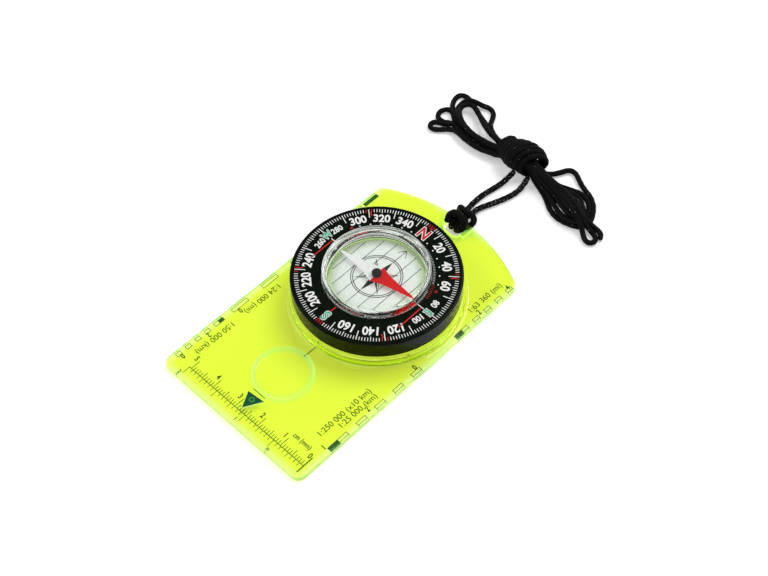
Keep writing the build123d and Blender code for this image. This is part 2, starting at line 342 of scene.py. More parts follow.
def clear_plastic(name, ior, tint, shadow_tint):
    """A clear body; shadow_tint is what each of its faces does to lamp rays."""
    material, tree, shader = new_material(name)
    put(shader, "Transmission Weight", 1.0)
    put(shader, "IOR", ior)
    put(shader, "Base Color", (*tint, 1))
    rough = remap(tree, noise(tree, 300, 2), 0.3, 0.7, 0.0, 0.006)
    put(shader, "Roughness", rough)
    lets_light_through(tree, shader, shadow_tint)
    return material


CLEAR_TINT = (0.975, 0.99, 0.98)
CLEAR_SHADOW = (0.985, 0.99, 0.985)


def capsule_base_plastic():
    """Clear in the window, frosted milky white under the cover's wall, where the two are welded; the
    frosted part also has a painted glow (emission) that keeps the capsule's rim pale.
    """
    material, tree, shader = new_material("capsule_base_clear")
    grain = noise(tree, 700, 2)
    put(shader, "Transmission Weight", 1.0)
    put(shader, "IOR", ACRYLIC_IOR)
    put(shader, "Base Color", (*CLEAR_TINT, 1))
    put(shader, "Roughness", remap(tree, grain, 0.3, 0.7, 0.0, 0.02))
    milky = add(tree, "ShaderNodeBsdfPrincipled", in_Roughness=0.5)
    tint = ramp(tree, grain, [(0.3, (0.80, 0.84, 0.80)), (0.7, (0.90, 0.93, 0.90))])
    put(milky, "Base Color", tint)
    # Painted glow: emission on the frosted weld, which no lamp gives.
    put(milky, "Emission Color", tint)
    put(milky, "Emission Strength", 0.55)
    lets_light_through(tree, mix_shaders(tree, weld_glow_share(tree), shader, milky), CLEAR_SHADOW)
    return material


def card_film():
    """Film that is milky in the middle and clear towards its rim, where a painted green cast stands in for
    green light from the acrylic; a painted glow (emission) brightens it.
    """
    material, tree, shader = new_material("card_film")
    fibres = noise(tree, 1200, 4)
    colour = ramp(tree, fibres, [(0.3, (0.84, 0.87, 0.85)), (0.7, (0.92, 0.94, 0.92))])
    put(shader, "Base Color", colour)
    put(shader, "Roughness", 0.3)
    # Painted glow: emission on the film, which no lamp gives.
    put(shader, "Emission Color", colour)
    put(shader, "Emission Strength", 0.20)
    clear = add(tree, "ShaderNodeBsdfTransparent")
    # Painted light: the green cast at the rim stands in for green light from the acrylic.
    rim = away_from(tree, 0, AXIS_Y_MM, *FILM_GREEN_LIGHT_R)
    put(clear, "Color", blend(tree, rim, (0.97, 0.985, 0.97), (0.84, 0.96, 0.66)))
    share = away_from(tree, 0, AXIS_Y_MM, *FILM_R)
    show(tree, mix_shaders(tree, remap(tree, share, 0, 1, 0.36, 0.96), shader, clear))
    return material


def ink(name, colour):
    """Pad-printed ink with a faint grain."""
    material, tree, shader = new_material(name)
    lighter = tuple(min(1.0, c * 1.12 + 0.004) for c in colour)
    tint = ramp(tree, noise(tree, 2500, 3), [(0.35, colour), (0.7, lighter)])
    put(shader, "Base Color", tint)
    put(shader, "Roughness", 0.45)
    put(shader, "Specular IOR Level", 0.12)
    return material


NEEDLE_TURN = math.radians(4.3)       # the needle's line at rest, from +X
PAINT_EDGE = 0.02 * MM


def needle_paint():
    """Red lacquer on the half that points north, white on the other."""
    material, tree, shader = new_material("needle_paint")
    place = add(tree, "ShaderNodeVectorMath", operation="DOT_PRODUCT")
    put(place, 1, (math.cos(NEEDLE_TURN), math.sin(NEEDLE_TURN), 0))
    put(place, 0, object_coords(tree))
    middle = AXIS_Y * math.sin(NEEDLE_TURN)
    side = remap(tree, place.outputs["Value"], middle - PAINT_EDGE, middle + PAINT_EDGE, 0, 1)
    grain = noise(tree, 900, 3)
    red = ramp(tree, grain, [(0.3, (0.70, 0.002, 0.002)), (0.7, (0.78, 0.004, 0.003))])
    white = ramp(tree, grain, [(0.3, (0.90, 0.90, 0.88)), (0.7, (0.96, 0.96, 0.95))])
    paint = blend(tree, side, white, red)
    put(shader, "Base Color", paint)
    # Painted glow: emission on the paint, which no lamp gives, brightens both halves.
    put(shader, "Emission Color", paint)
    put(shader, "Emission Strength", 0.10)
    put(shader, "Roughness", 0.35)
    put(shader, "Specular IOR Level", 0.02)
    return material


def metal(name, colour, roughness):
    """Turned metal."""
    material, tree, shader = new_material(name)
    put(shader, "Metallic", 1.0)
    tint = ramp(tree, noise(tree, 800, 4), [(0.3, colour), (0.7, tuple(c * 0.85 for c in colour))])
    put(shader, "Base Color", tint)
    rough = remap(tree, noise(tree, 2000, 3), 0.3, 0.7, roughness, roughness + 0.12)
    put(shader, "Roughness", rough)
    return material


def soft_plastic(name, colour, roughness):
    """Pale dull plastic or rubber."""
    material, tree, shader = new_material(name)
    darker = tuple(c * 0.88 for c in colour)
    tint = ramp(tree, noise(tree, 300, 4), [(0.3, darker), (0.7, colour)])
    put(shader, "Base Color", tint)
    rough = remap(tree, noise(tree, 900, 3), 0.3, 0.7, roughness, roughness + 0.15)
    put(shader, "Roughness", rough)
    bump(tree, shader, noise(tree, 2500, 3), 0.15, 0.0001)
    return material


def jewel_red():
    """The ruby cup in the needle's bush."""
    material, tree, shader = new_material("jewel_red")
    put(shader, "Transmission Weight", 0.7)
    put(shader, "IOR", 1.76)
    colour = ramp(tree, noise(tree, 2000, 2), [(0.3, (0.6, 0.02, 0.06)), (0.7, (0.8, 0.05, 0.12))])
    put(shader, "Base Color", colour)
    put(shader, "Roughness", 0.03)
    return material


def braid_cord(name, share):
    """Black braid with pale flecks placed by the cord's own UV; more flecks as share grows."""
    material, tree, shader = new_material(name)
    uv = add(tree, "ShaderNodeTexCoord").outputs["UV"]
    flecks = noise(tree, 1.7, 0.0, uv)
    fibre = noise(tree, 9000, 3)
    dark = ramp(tree, fibre, [(0.3, (0.001, 0.001, 0.001)), (0.75, (0.007, 0.007, 0.007))])
    pick = ramp(tree, flecks, [(0.78 - share, (0, 0, 0)), (0.82 - share, (1, 1, 1))])
    put(shader, "Base Color", blend(tree, pick, dark, (0.50, 0.51, 0.49)))
    put(shader, "Roughness", 0.75)
    put(shader, "Specular IOR Level", 0.12)
    bump(tree, shader, fibre, 0.5, 0.0001)
    return material


MATERIALS = {
    "acrylic": acrylic_green(),
    "bezel": black_plastic("bezel_black", 0.12, (0.002, 0.005, 0.002), 0.09),
    "ring": ring_green(),
    "hub": black_plastic("hub_black", 0.22, (0.001, 0.001, 0.001), 0.14),
    "cover": clear_plastic("capsule_clear", ACRYLIC_IOR, CLEAR_TINT, CLEAR_SHADOW),
    "liquid": clear_plastic("damping_liquid", 1.42, (0.99, 0.995, 0.99), (0.99, 0.995, 0.99)),
    "card": card_film(),
    "white_ink": ink("white_ink", (0.86, 0.86, 0.84)),
    "red_ink": ink("red_ink", (0.62, 0.02, 0.02)),
    "teal_ink": ink("teal_ink", (0.06, 0.48, 0.26)),
    "black_ink": ink("black_ink", (0.004, 0.004, 0.004)),
    "grey_ink": ink("grey_ink", (0.02, 0.022, 0.02)),
    "olive_ink": ink("olive_ink", (0.012, 0.07, 0.004)),
    # Painted highlight colour for the direction mark's lit edge.
    "lit_edge_ink": ink("lit_edge_ink", (0.62, 0.86, 0.22)),
    "lime_ink": ink("lime_ink", (0.10, 0.42, 0.06)),
    "green_ink": ink("green_ink", (0.002, 0.09, 0.03)),
    "needle": needle_paint(),
    "steel": metal("pin_steel", (0.62, 0.62, 0.64), 0.2),
    "brass": metal("bush_brass", (0.75, 0.56, 0.24), 0.25),
    "jewel": jewel_red(),
    "base": capsule_base_plastic(),
    "rubber": soft_plastic("seal_silicone", (0.86, 0.89, 0.84), 0.45),
    "slip": soft_plastic("slip_plastic", (0.82, 0.82, 0.78), 0.4),
    "cord": braid_cord("braid_cord", -0.03),
    "flecked_cord": braid_cord("braid_cord_flecked", 0.07),
}


def dress(node, key):
    """Puts a material on a CAD node."""
    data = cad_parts[node].data
    data.materials.clear()
    data.materials.append(MATERIALS[key])


def new_object(name, verts, faces, key, body):
    """A mesh piece that rides on a body."""
    data = bpy.data.meshes.new(name)
    data.from_pydata([tuple(v) for v in verts], [], faces)
    data.validate()
    data.materials.append(MATERIALS[key])
    piece = bpy.data.objects.new(name, data)
    scene.collection.objects.link(piece)
    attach(piece, body)
    return piece


# ---- cords ----
def spline_line(name, points_mm):
    """The smooth line of a route: points read from a NURBS spline with the route as its control points."""
    data = bpy.data.curves.new(name + "_route", "CURVE")
    data.dimensions = "3D"
    data.resolution_u = 12
    spline = data.splines.new("NURBS")
    spline.points.add(len(points_mm) - 1)
    for point, place in zip(spline.points, points_mm):
        point.co = (*(Vector(place) * MM), 1)
    spline.order_u = 3
    spline.use_endpoint_u = True
    route = bpy.data.objects.new(name + "_route", data)
    scene.collection.objects.link(route)
    bpy.context.view_layer.update()
    mesh = bpy.data.meshes.new_from_object(route)
    line = np.array([v.co for v in mesh.vertices])
    bpy.data.objects.remove(route)
    bpy.data.meshes.remove(mesh)
    return line


def evenly(line, step):
    """The same line with points a step apart."""
    gaps = np.linalg.norm(np.diff(line, axis=0), axis=1)
    along = np.concatenate([[0], np.cumsum(gaps)])
    count = max(8, int(round(along[-1] / step)))
    at = np.linspace(0, along[-1], count + 1)
    return np.stack([np.interp(at, along, line[:, k]) for k in range(3)], axis=1)


def frames_along(line):
    """Parallel-transported side vectors along a line."""
    tangents = np.gradient(line, axis=0)
    tangents /= np.linalg.norm(tangents, axis=1)[:, None]
    side = np.cross(tangents[0], (0.0, 0.0, 1.0))
    if np.linalg.norm(side) < 0.1:
        side = np.cross(tangents[0], (1.0, 0.0, 0.0))
    sides = []
    for tangent in tangents:
        side = side - tangent * side.dot(tangent)
        side = side / np.linalg.norm(side)
        sides.append(side)
    sides = np.array(sides)
    return tangents, sides, np.cross(tangents, sides)


BRAID_STEP = 0.22 * MM
BRAID_SIDES = 24
BRAID_PICKS = 8               # picks round the cord
BRAID_PITCH = 2.6 * MM        # length of one repeat
BRAID_RELIEF = 0.07
BRAID_LEVEL = 0.9             # the relief's value at the nominal diameter
END_LENGTH = 0.6              # length over which an end rounds off, in radii
END_TIP = 0.001               # radius left at a cord's end, as a share
BRAID_D = 1.06 * CORD_D       # over the picks
STRAND_D = 1.13 * CORD_D      # the two strands carry no turns that press them thin
HITCH_D = 2.2                 # pulled tight, the hitch spreads
WRAP_D = 2.8


def braid_height(around, along):
    """Over-and-under relief of a braid, from -1 to 1."""
    a = BRAID_PICKS / 2 * around + TAU * along / BRAID_PITCH
    b = BRAID_PICKS / 2 * around - TAU * along / BRAID_PITCH
    return np.maximum(np.cos(a), np.cos(b)) * 0.8 + 0.2 * np.cos(a) * np.cos(b)


def braided_cord(name, points_mm, diameter_mm, key="cord"):
    """A braided tube along a route, with rounded ends. Returns (piece, path, length)."""
    line = evenly(spline_line(name, points_mm), BRAID_STEP)
    tangents, sides, ups = frames_along(line)
    gaps = np.linalg.norm(np.diff(line, axis=0), axis=1)
    along = np.concatenate([[0], np.cumsum(gaps)])
    radius = diameter_mm * MM / 2
    angles = np.linspace(0, TAU, BRAID_SIDES, endpoint=False)
    verts = []
    for k in range(len(line)):
        relief = 1 + BRAID_RELIEF * (braid_height(angles, along[k]) - BRAID_LEVEL)
        end = min(along[k], along[-1] - along[k]) / (END_LENGTH * radius)
        dome = math.sqrt(max(0.0, 1 - max(0.0, 1 - end) ** 2))
        reach = radius * relief * (dome * (1 - END_TIP) + END_TIP)
        ring = line[k] + reach[:, None] * (
            np.cos(angles)[:, None] * sides[k] + np.sin(angles)[:, None] * ups[k]
        )
        verts.extend(ring)
    n = BRAID_SIDES
    faces = []
    uvs = []
    for k in range(len(line) - 1):
        for j in range(n):
            nxt = (j + 1) % n
            faces.append((k * n + j, k * n + nxt, (k + 1) * n + nxt, (k + 1) * n + j))
            u0, u1 = j / n * BRAID_PICKS, (j + 1) / n * BRAID_PICKS
            v0, v1 = along[k] / MM, along[k + 1] / MM
            uvs.extend([(u0, v0), (u1, v0), (u1, v1), (u0, v1)])
    last = (len(line) - 1) * n
    faces.append(tuple(range(n))[::-1])
    faces.append(tuple(last + j for j in range(n)))
    uvs.extend([(0, 0)] * n)
    uvs.extend([(0, along[-1] / MM)] * n)
    piece = new_object(name, verts, faces, key, "plate")
    layer = piece.data.uv_layers.new(name="UVMap")
    for loop, uv in zip(layer.data, uvs):
        loop.uv = uv
    for polygon in piece.data.polygons:
        polygon.use_smooth = True
    return piece, line, along[-1]


def mirrored(points):
    """The same route on the other side of the slot's middle."""
    return [(2 * SLOT_X - x, y, z) for x, y, z in points]


CORD_LOW = CORD_D / 2 + 0.15
SLOT_LOW = CORD_LOW + 0.05
SLOT_RUN = [
    (SLOT_X - 2.02, 51.4, SLOT_LOW),
    (SLOT_X - 1.10, 48.4, SLOT_LOW),
    (SLOT_X - 0.95, 48.4, 4.3),
    (SLOT_X - 0.95, 53.6, 4.2),
]
STRAND_LEFT = SLOT_RUN + [
    (-2.9, 57.4, 1.5),
    (-3.7, 61.9, CORD_LOW),
    (-3.7, 66.8, CORD_LOW),
    (-2.8, 71.6, CORD_LOW),
    (-2.1, 76.2, 1.3),
    (-1.7, 80.6, 3.2),
]
STRAND_RIGHT = mirrored(SLOT_RUN) + [
    (-0.5, 57.3, 1.9),
    (-0.8, 61.2, CORD_LOW),
    (0.9, 65.2, CORD_LOW),
    (2.5, 69.4, CORD_LOW),
    (3.7, 73.6, CORD_LOW),
    (4.1, 77.8, 1.4),
    (3.4, 81.8, 3.2),
]
HITCH_HALF = [
    (SLOT_X - 2.02, 51.4, SLOT_LOW),
    (SLOT_X - 3.15, 55.02, SLOT_LOW),
    (SLOT_X - 3.20, 54.9, 5.0),
    (SLOT_X - 1.40, 54.1, 6.3),
]
WRAP_HALF = [
    (SLOT_X - 2.2, 48.0, 3.6),
    (SLOT_X - 3.3, 49.5, 4.4),
    (SLOT_X - 2.6, 50.9, 6.0),
    (SLOT_X - 0.8, 51.2, 6.5),
]
HITCH_WRAP = WRAP_HALF + mirrored(WRAP_HALF)[::-1]
HITCH = HITCH_HALF + mirrored(HITCH_HALF)[::-1]

KNOT_X, KNOT_Y, KNOT_Z = -3.2, 85.4, 6.3
KNOT_TURNS = 9
KNOT_START, KNOT_END = -7.4, 6.2
BARREL_AT = 0.9               # where it is fattest
BARREL_HALF = 6.5             # half of its fat middle
KNOT_R = 5.1
KNOT_CORE = 0.42              # share of the radius that doesn't swell
KNOT_NECK = 0.35              # least swell, at the ends
KNOT_SINK = 2.0               # how far the ends lie lower than the middle would
KNOT_DRIFT = 0.2              # how far the ends lie to the side
KNOT_SKEW = 0.55              # how far the turns slant across the bundle
KNOT_FALL = 1.25              # how fast it narrows from its fattest turn
KNOT_PITCH_LEAN = 0.6         # how far a turn leans along the bundle as it goes round
KNOT_TILT = 0.9               # how unevenly single turns slant
KNOT_UNEVEN = 0.12
POINTS_PER_TURN = 14


def knot_route():
    """Turns wound round the bundle, along X, fatter in the middle and a little untidy."""
    points = []
    total = KNOT_TURNS * POINTS_PER_TURN
    rng = random.Random(4)
    tilts = [rng.uniform(-KNOT_TILT, KNOT_TILT) for _ in range(KNOT_TURNS + 1)]
    for k in range(total + 1):
        t = k / total
        angle = TAU * KNOT_TURNS * t
        along = KNOT_START + (KNOT_END - KNOT_START) * t
        swell = max(KNOT_NECK, math.cos(KNOT_FALL * (along - BARREL_AT) / BARREL_HALF))
        radius = KNOT_R * (KNOT_CORE + (1 - KNOT_CORE) * swell) + KNOT_UNEVEN * rng.uniform(-1, 1)
        slant = KNOT_SKEW * radius + tilts[int(t * KNOT_TURNS)]
        points.append((
            KNOT_X + along + KNOT_PITCH_LEAN * math.cos(angle) + slant * math.sin(angle),
            KNOT_Y + radius * math.sin(angle) - KNOT_DRIFT * (1 - swell) * along,
            KNOT_Z - KNOT_SINK * (1 - swell) - radius * math.cos(angle),
        ))
    return points


# how a cord turns back inside the knot: along and across the bundle, from the knot's middle
TURN_BACK = ((5.2, -1.6), (2.2, -3.1), (-0.8, -2.6), (-2.0, -0.4), (-0.8, 1.8), (2.2, 2.3), (5.2, 0.8))
TURN_LEVELS = (4.2, 5.5, 6.8)


def chained(loops, side):
    """Loops joined end to end by turns inside the knot; side is -1 for the left bunch, 1 for the right."""
    points = list(loops[0])
    for k, after in enumerate(loops[1:]):
        level = TURN_LEVELS[k % len(TURN_LEVELS)]
        points.extend((KNOT_X + side * x, KNOT_Y + y, level) for x, y in TURN_BACK)
        points.extend(after)
    return points


LEFT_LOOPS = [
    [(-4.0, 84.6, 4.6), (-8.2, 83.9, 3.4), (-11.8, 83.0, 1.2), (-17.2, 82.0, 1), (-22.3, 81.2, 1),
     (-26.8, 81.4, 1), (-30.3, 82.8, 1), (-33.4, 84.9, 1), (-35.9, 87.3, 1), (-38.2, 88.1, 1),
     (-39.9, 86.9, 1), (-40.4, 84.4, 1), (-38.9, 82.2, 1), (-36.2, 82.0, 1), (-33.6, 83.6, 1.2),
     (-29.4, 82.4, 2.6), (-24.9, 81.5, 2.8), (-18.7, 82.0, 2.8), (-12.4, 83.5, 3.2)],
    [(-12.8, 84.2, 1.4), (-19.3, 83.5, 1), (-25.0, 83.1, 1), (-30.5, 84.3, 2.4), (-34.9, 86.4, 2.7),
     (-38.8, 89.6, 1.2), (-40.8, 93.2, 1), (-40.5, 96.2, 1), (-37.5, 96.9, 1), (-33.9, 95.4, 1.2),
     (-30.0, 93.6, 1), (-25.4, 91.9, 1), (-21.2, 90.4, 1), (-17.1, 88.6, 1.2), (-13.1, 87.0, 2.2)],
    [(-12.5, 84.8, 3.2), (-18.5, 83.8, 2.8), (-23.7, 83.2, 2.8), (-29.2, 84.0, 4.2), (-33.4, 86.5, 3.9),
     (-36.3, 89.4, 1.4), (-37.3, 92.4, 1), (-36.5, 94.7, 2.0), (-33.9, 95.6, 2.9), (-31.2, 97.2, 1.2),
     (-28.4, 98.3, 1), (-25.7, 97.3, 1), (-24.0, 94.3, 1), (-22.1, 90.9, 2.6), (-18.4, 88.4, 2.9),
     (-13.5, 86.5, 4.0)],
    [(-10.3, 83.4, 5.2), (-17.0, 82.7, 4.6), (-22.6, 82.3, 4.6), (-27.8, 83.2, 5.2), (-31.9, 85.8, 4.6),
     (-34.8, 89.0, 2.9), (-35.3, 91.7, 2.6), (-34.2, 93.4, 2.8), (-31.8, 93.7, 3), (-28.3, 92.2, 2.8),
     (-24.6, 90.1, 2.8), (-20.8, 87.8, 4.2), (-16.1, 86.0, 4.8), (-10.8, 85.6, 5.8), (-5.0, 85.4, 6.2)],
]
RIGHT_LOOPS = [
    [(-3.6, 86.0, 4.4), (0.8, 86.6, 3.6), (4.6, 87.3, 1.8), (7.0, 89.0, 1), (8.9, 92.0, 1), (10.3, 95.2, 1),
     (12.9, 95.7, 1), (16.1, 93.7, 1), (19.6, 91.9, 1), (23.3, 90.9, 1), (26.8, 88.3, 1), (29.3, 84.5, 1),
     (30.4, 81.1, 1), (29.1, 78.0, 1), (24.9, 76.4, 1), (20.8, 75.9, 1), (16.9, 77.1, 1), (13.0, 79.9, 1),
     (9.2, 81.7, 1), (5.4, 82.9, 1.4)],
    [(4.9, 85.4, 3.0), (8.3, 86.1, 1.6), (12.9, 87.3, 1), (16.9, 88.8, 1), (20.7, 89.3, 1.6),
     (24.0, 88.5, 1.4), (26.6, 86.3, 1), (28.2, 82.8, 1.2), (28.7, 79.0, 2.8), (25.2, 76.6, 2.9),
     (21.1, 76.8, 2.8), (16.8, 78.8, 2.8), (12.9, 81.0, 2.8), (7.6, 82.6, 3.2)],
    [(5.6, 83.0, 4.4), (10.2, 83.2, 3.4), (13.3, 84.3, 2.6), (16.4, 85.9, 2.4), (19.6, 86.9, 2.6),
     (23.5, 85.7, 3.0), (26.1, 82.7, 3.4), (26.6, 79.0, 4.6), (23.9, 77.6, 4.7), (20.3, 78.9, 4.5),
     (16.4, 81.0, 4.4), (12.4, 82.0, 4.4), (6.6, 82.8, 5.4)],
    [(5.8, 84.4, 3.2), (10.6, 83.4, 1.4), (15.4, 82.3, 1), (20.2, 80.7, 1), (23.6, 79.6, 1),
     (25.9, 80.2, 1), (27.0, 82.0, 1.1), (26.2, 84.4, 1), (22.4, 86.6, 1), (17.0, 86.0, 1),
     (11.6, 85.0, 1.2), (6.0, 85.2, 3.4)],
    [(6.0, 84.2, 5.6), (11.3, 84.0, 3.8), (16.8, 84.0, 4.0), (21.2, 83.9, 4.6), (24.3, 82.9, 5.2),
     (25.5, 80.9, 5.9), (24.2, 79.0, 6.3), (21.6, 79.1, 6.3), (18.6, 80.8, 6.1), (14.6, 82.2, 6.0),
     (8.6, 83.2, 6.6), (2.6, 84.6, 6.4), (-3.0, 85.4, 6.8)],
]
TAIL_LEFT = [
    (-3.0, 84.8, 5.0), (-7.6, 83.6, 4.6), (-11.4, 81.9, 3.4), (-15.9, 80.5, 2.6), (-21.2, 79.9, 2.6),
    (-26.8, 80.7, 2.6), (-30.4, 81.5, 1.6), (-33.0, 80.4, 1), (-34.8, 78.2, 1), (-36.8, 76.9, 1),
    (-38.6, 77.7, 1), (-38.7, 79.7, 1), (-37.0, 80.9, 1), (-34.6, 81.3, 1.4), (-31.4, 83.0, 2.9),
]
TAIL_RIGHT = [
    (-4.0, 85.2, 5.2), (1.4, 84.4, 4.8), (7.0, 83.4, 6.8), (14.0, 82.8, 7.6), (20.6, 82.0, 6.4),
    (25.4, 80.6, 5.6), (29.6, 80.4, 3.2), (32.2, 81.3, 1.2), (34.8, 81.2, 1), (36.6, 80.2, 1),
    (37.0, 78.6, 1),
]
TAIL_LOOP = [
    (-4.0, 86.2, 5.6), (1.8, 85.4, 5.6), (8.4, 84.6, 5.2), (14.6, 83.0, 6.0), (20.6, 80.4, 7.6),
    (25.6, 78.6, 6.2), (29.8, 77.8, 3.0), (32.2, 76.0, 1.2), (34.4, 74.8, 1), (36.2, 75.6, 1),
    (36.4, 77.6, 1), (34.8, 78.9, 1), (32.4, 79.3, 1.3), (29.0, 79.4, 3.4), (24.2, 80.8, 7.0),
    (18.0, 82.2, 7.8), (11.0, 83.6, 6.4), (4.0, 85.2, 6.8), (-3.0, 86.4, 7.0),
]


def make_lanyard():
    """The cord: hitch, two strands, wound knot, two bunches of loops and the two ends."""
    hitch, _, _ = braided_cord("lanyard_hitch_cord", HITCH, HITCH_D)
    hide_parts("lanyard_hitch")
    wrap, _, _ = braided_cord("lanyard_hitch_wrap", HITCH_WRAP, WRAP_D)
    for side, route in (("left", STRAND_LEFT), ("right", STRAND_RIGHT)):
        piece, path, length = braided_cord(f"strand_{side}", route, STRAND_D, "flecked_cord")
        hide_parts(f"lanyard_strand_{side}")
    knot, path, length = braided_cord("lanyard_knot_turns", knot_route(), BRAID_D)
    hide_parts("lanyard_knot")
    for name, route, lay in (
        ("hank_left", chained(LEFT_LOOPS, -1), "coiled"),
        ("hank_right", chained(RIGHT_LOOPS, 1), "coiled"),
        ("tail_left", TAIL_LEFT, "loose"),
        ("tail_right", TAIL_RIGHT, "loose"),
        ("tail_loop", TAIL_LOOP, "loose"),
    ):
        piece, path, length = braided_cord(name, route, BRAID_D)
        if name.startswith("hank"):
            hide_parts("lanyard_" + name)


make_lanyard()


# ---- printed marks ----
class Print:
    """Collects flat shapes and makes one thin solid print of them."""

    def __init__(self, name, key, body, slot_name, base, thick=INK):
        self.name = name
        self.key = key
        self.body = body
        self.slot_name = slot_name
        self.base = base
        self.thick = thick
        self.verts = []
        self.faces = []

    def outline(self, points):
        """A filled shape from its corners in order, in millimetres."""
        n = len(points)
        area = sum(
            points[k][0] * points[(k + 1) % n][1] - points[(k + 1) % n][0] * points[k][1]
            for k in range(n)
        )
        if area < 0:
            points = points[::-1]
        start = len(self.verts)
        for height in (self.base, self.base + self.thick):
            self.verts.extend((x * MM, y * MM, height) for x, y in points)
        self.faces.append(tuple(start + k for k in range(n))[::-1])
        self.faces.append(tuple(start + n + k for k in range(n)))
        for k in range(n):
            nxt = (k + 1) % n
            self.faces.append((start + k, start + nxt, start + n + nxt, start + n + k))

    def line(self, x0, y0, x1, y1, width):
        """A straight stroke."""
        length = math.hypot(x1 - x0, y1 - y0)
        nx, ny = -(y1 - y0) / length * width / 2, (x1 - x0) / length * width / 2
        self.outline([(x0 + nx, y0 + ny), (x0 - nx, y0 - ny), (x1 - nx, y1 - ny), (x1 + nx, y1 + ny)])

    def box(self, x0, y0, x1, y1):
        """A filled rectangle."""
        self.outline([(x0, y0), (x1, y0), (x1, y1), (x0, y1)])

    def frame(self, x0, y0, x1, y1, width):
        """An open rectangle."""
        self.box(x0, y0, x1, y0 + width)
        self.box(x0, y1 - width, x1, y1)
        self.box(x0, y0 + width, x0 + width, y1 - width)
        self.box(x1 - width, y0 + width, x1, y1 - width)

    def disc(self, x, y, radius, count):
        """A filled circle with so many corners."""
        self.outline([
            (x + radius * math.cos(TAU * k / count), y + radius * math.sin(TAU * k / count))
            for k in range(count)
        ])

    def hoop(self, x, y, radius, width, count=96):
        """A circle line."""
        for k in range(count):
            a, b = TAU * k / count, TAU * (k + 1) / count
            inner, outer = radius - width / 2, radius + width / 2
            self.outline([
                (x + inner * math.cos(a), y + inner * math.sin(a)),
                (x + outer * math.cos(a), y + outer * math.sin(a)),
                (x + outer * math.cos(b), y + outer * math.sin(b)),
                (x + inner * math.cos(b), y + inner * math.sin(b)),
            ])

    def text(self, words, x, y, height, turn, condense=0.8, bold=0.02):
        """Figures with their middle at x, y, turned counter-clockwise by turn degrees."""
        verts, faces = glyphs(words, height, condense, bold, self.thick)
        c, s = math.cos(math.radians(turn)), math.sin(math.radians(turn))
        start = len(self.verts)
        for px, py, pz in verts:
            self.verts.append(((x + px * c - py * s) * MM, (y + px * s + py * c) * MM, self.base + pz))
        self.faces.extend(tuple(start + k for k in face) for face in faces)

    def done(self):
        """Makes the piece."""
        new_object(self.name, self.verts, self.faces, self.key, self.body)


FIGURE_HEIGHT = 0.73          # height of the figures in the font at size 1
GLYPHS = {}                   # figures that are already made


def glyphs(words, height, condense, bold, thick):
    """Vertices (x, y in millimetres, z in metres) and faces of a line of figures."""
    key = (words, height, condense, bold, thick)
    if key not in GLYPHS:
        data = bpy.data.curves.new("glyphs", "FONT")
        data.body = words
        data.size = 1.0
        data.align_x = "CENTER"
        data.offset = bold
        data.resolution_u = 4
        data.extrude = 0.5
        thing = bpy.data.objects.new("glyphs", data)
        scene.collection.objects.link(thing)
        bpy.context.view_layer.update()
        mesh = bpy.data.meshes.new_from_object(thing)
        co = np.array([v.co for v in mesh.vertices])
        faces = [tuple(p.vertices) for p in mesh.polygons]
        bpy.data.objects.remove(thing)
        bpy.data.meshes.remove(mesh)
        scale = height / FIGURE_HEIGHT
        co[:, 1] = (co[:, 1] - FIGURE_HEIGHT / 2) * scale
        co[:, 0] *= scale * condense
        co[:, 2] = (co[:, 2] + 0.5) * thick
        GLYPHS[key] = (co, faces)
    return GLYPHS[key]


def around(radius, degrees):
    """A point on a circle round the turning axis, degrees clockwise from north (+Y)."""
    a = math.radians(degrees)
    return radius * math.sin(a), AXIS_Y_MM + radius * math.cos(a)


def spoke(lines, inner, outer, degrees, width):
    """A stroke that points at the turning axis."""
    lines.line(*around(inner, degrees), *around(outer, degrees), width)


LONG_TICKS = range(10, 360, 20)  # between the figures
RED_MARKS = (0, 50, 130, 180, 230, 310)  # the ticks beside these are red
SMALL_FIGURES = (80, 100, 260, 280)  # they make room for E and W
SOUTH = 180  # carries a letter in place of a figure
TICK_OUTER_R, TICK_R, TICK_TEN_R, TICK_LONG_R = 26.0, 24.75, 24.35, 22.6
FIGURES = (22.3, 3.05)  # radius and height
SMALLER = (21.9, 2.15)
GUIDE_X = 19.4  # the red lines from E and W towards south
ARC_END = 60  # the declination arc reaches this far from north
ARC_R = (17.8, 18.5)
RED_ARC_R = (18.0, 18.9)  # it goes on in red


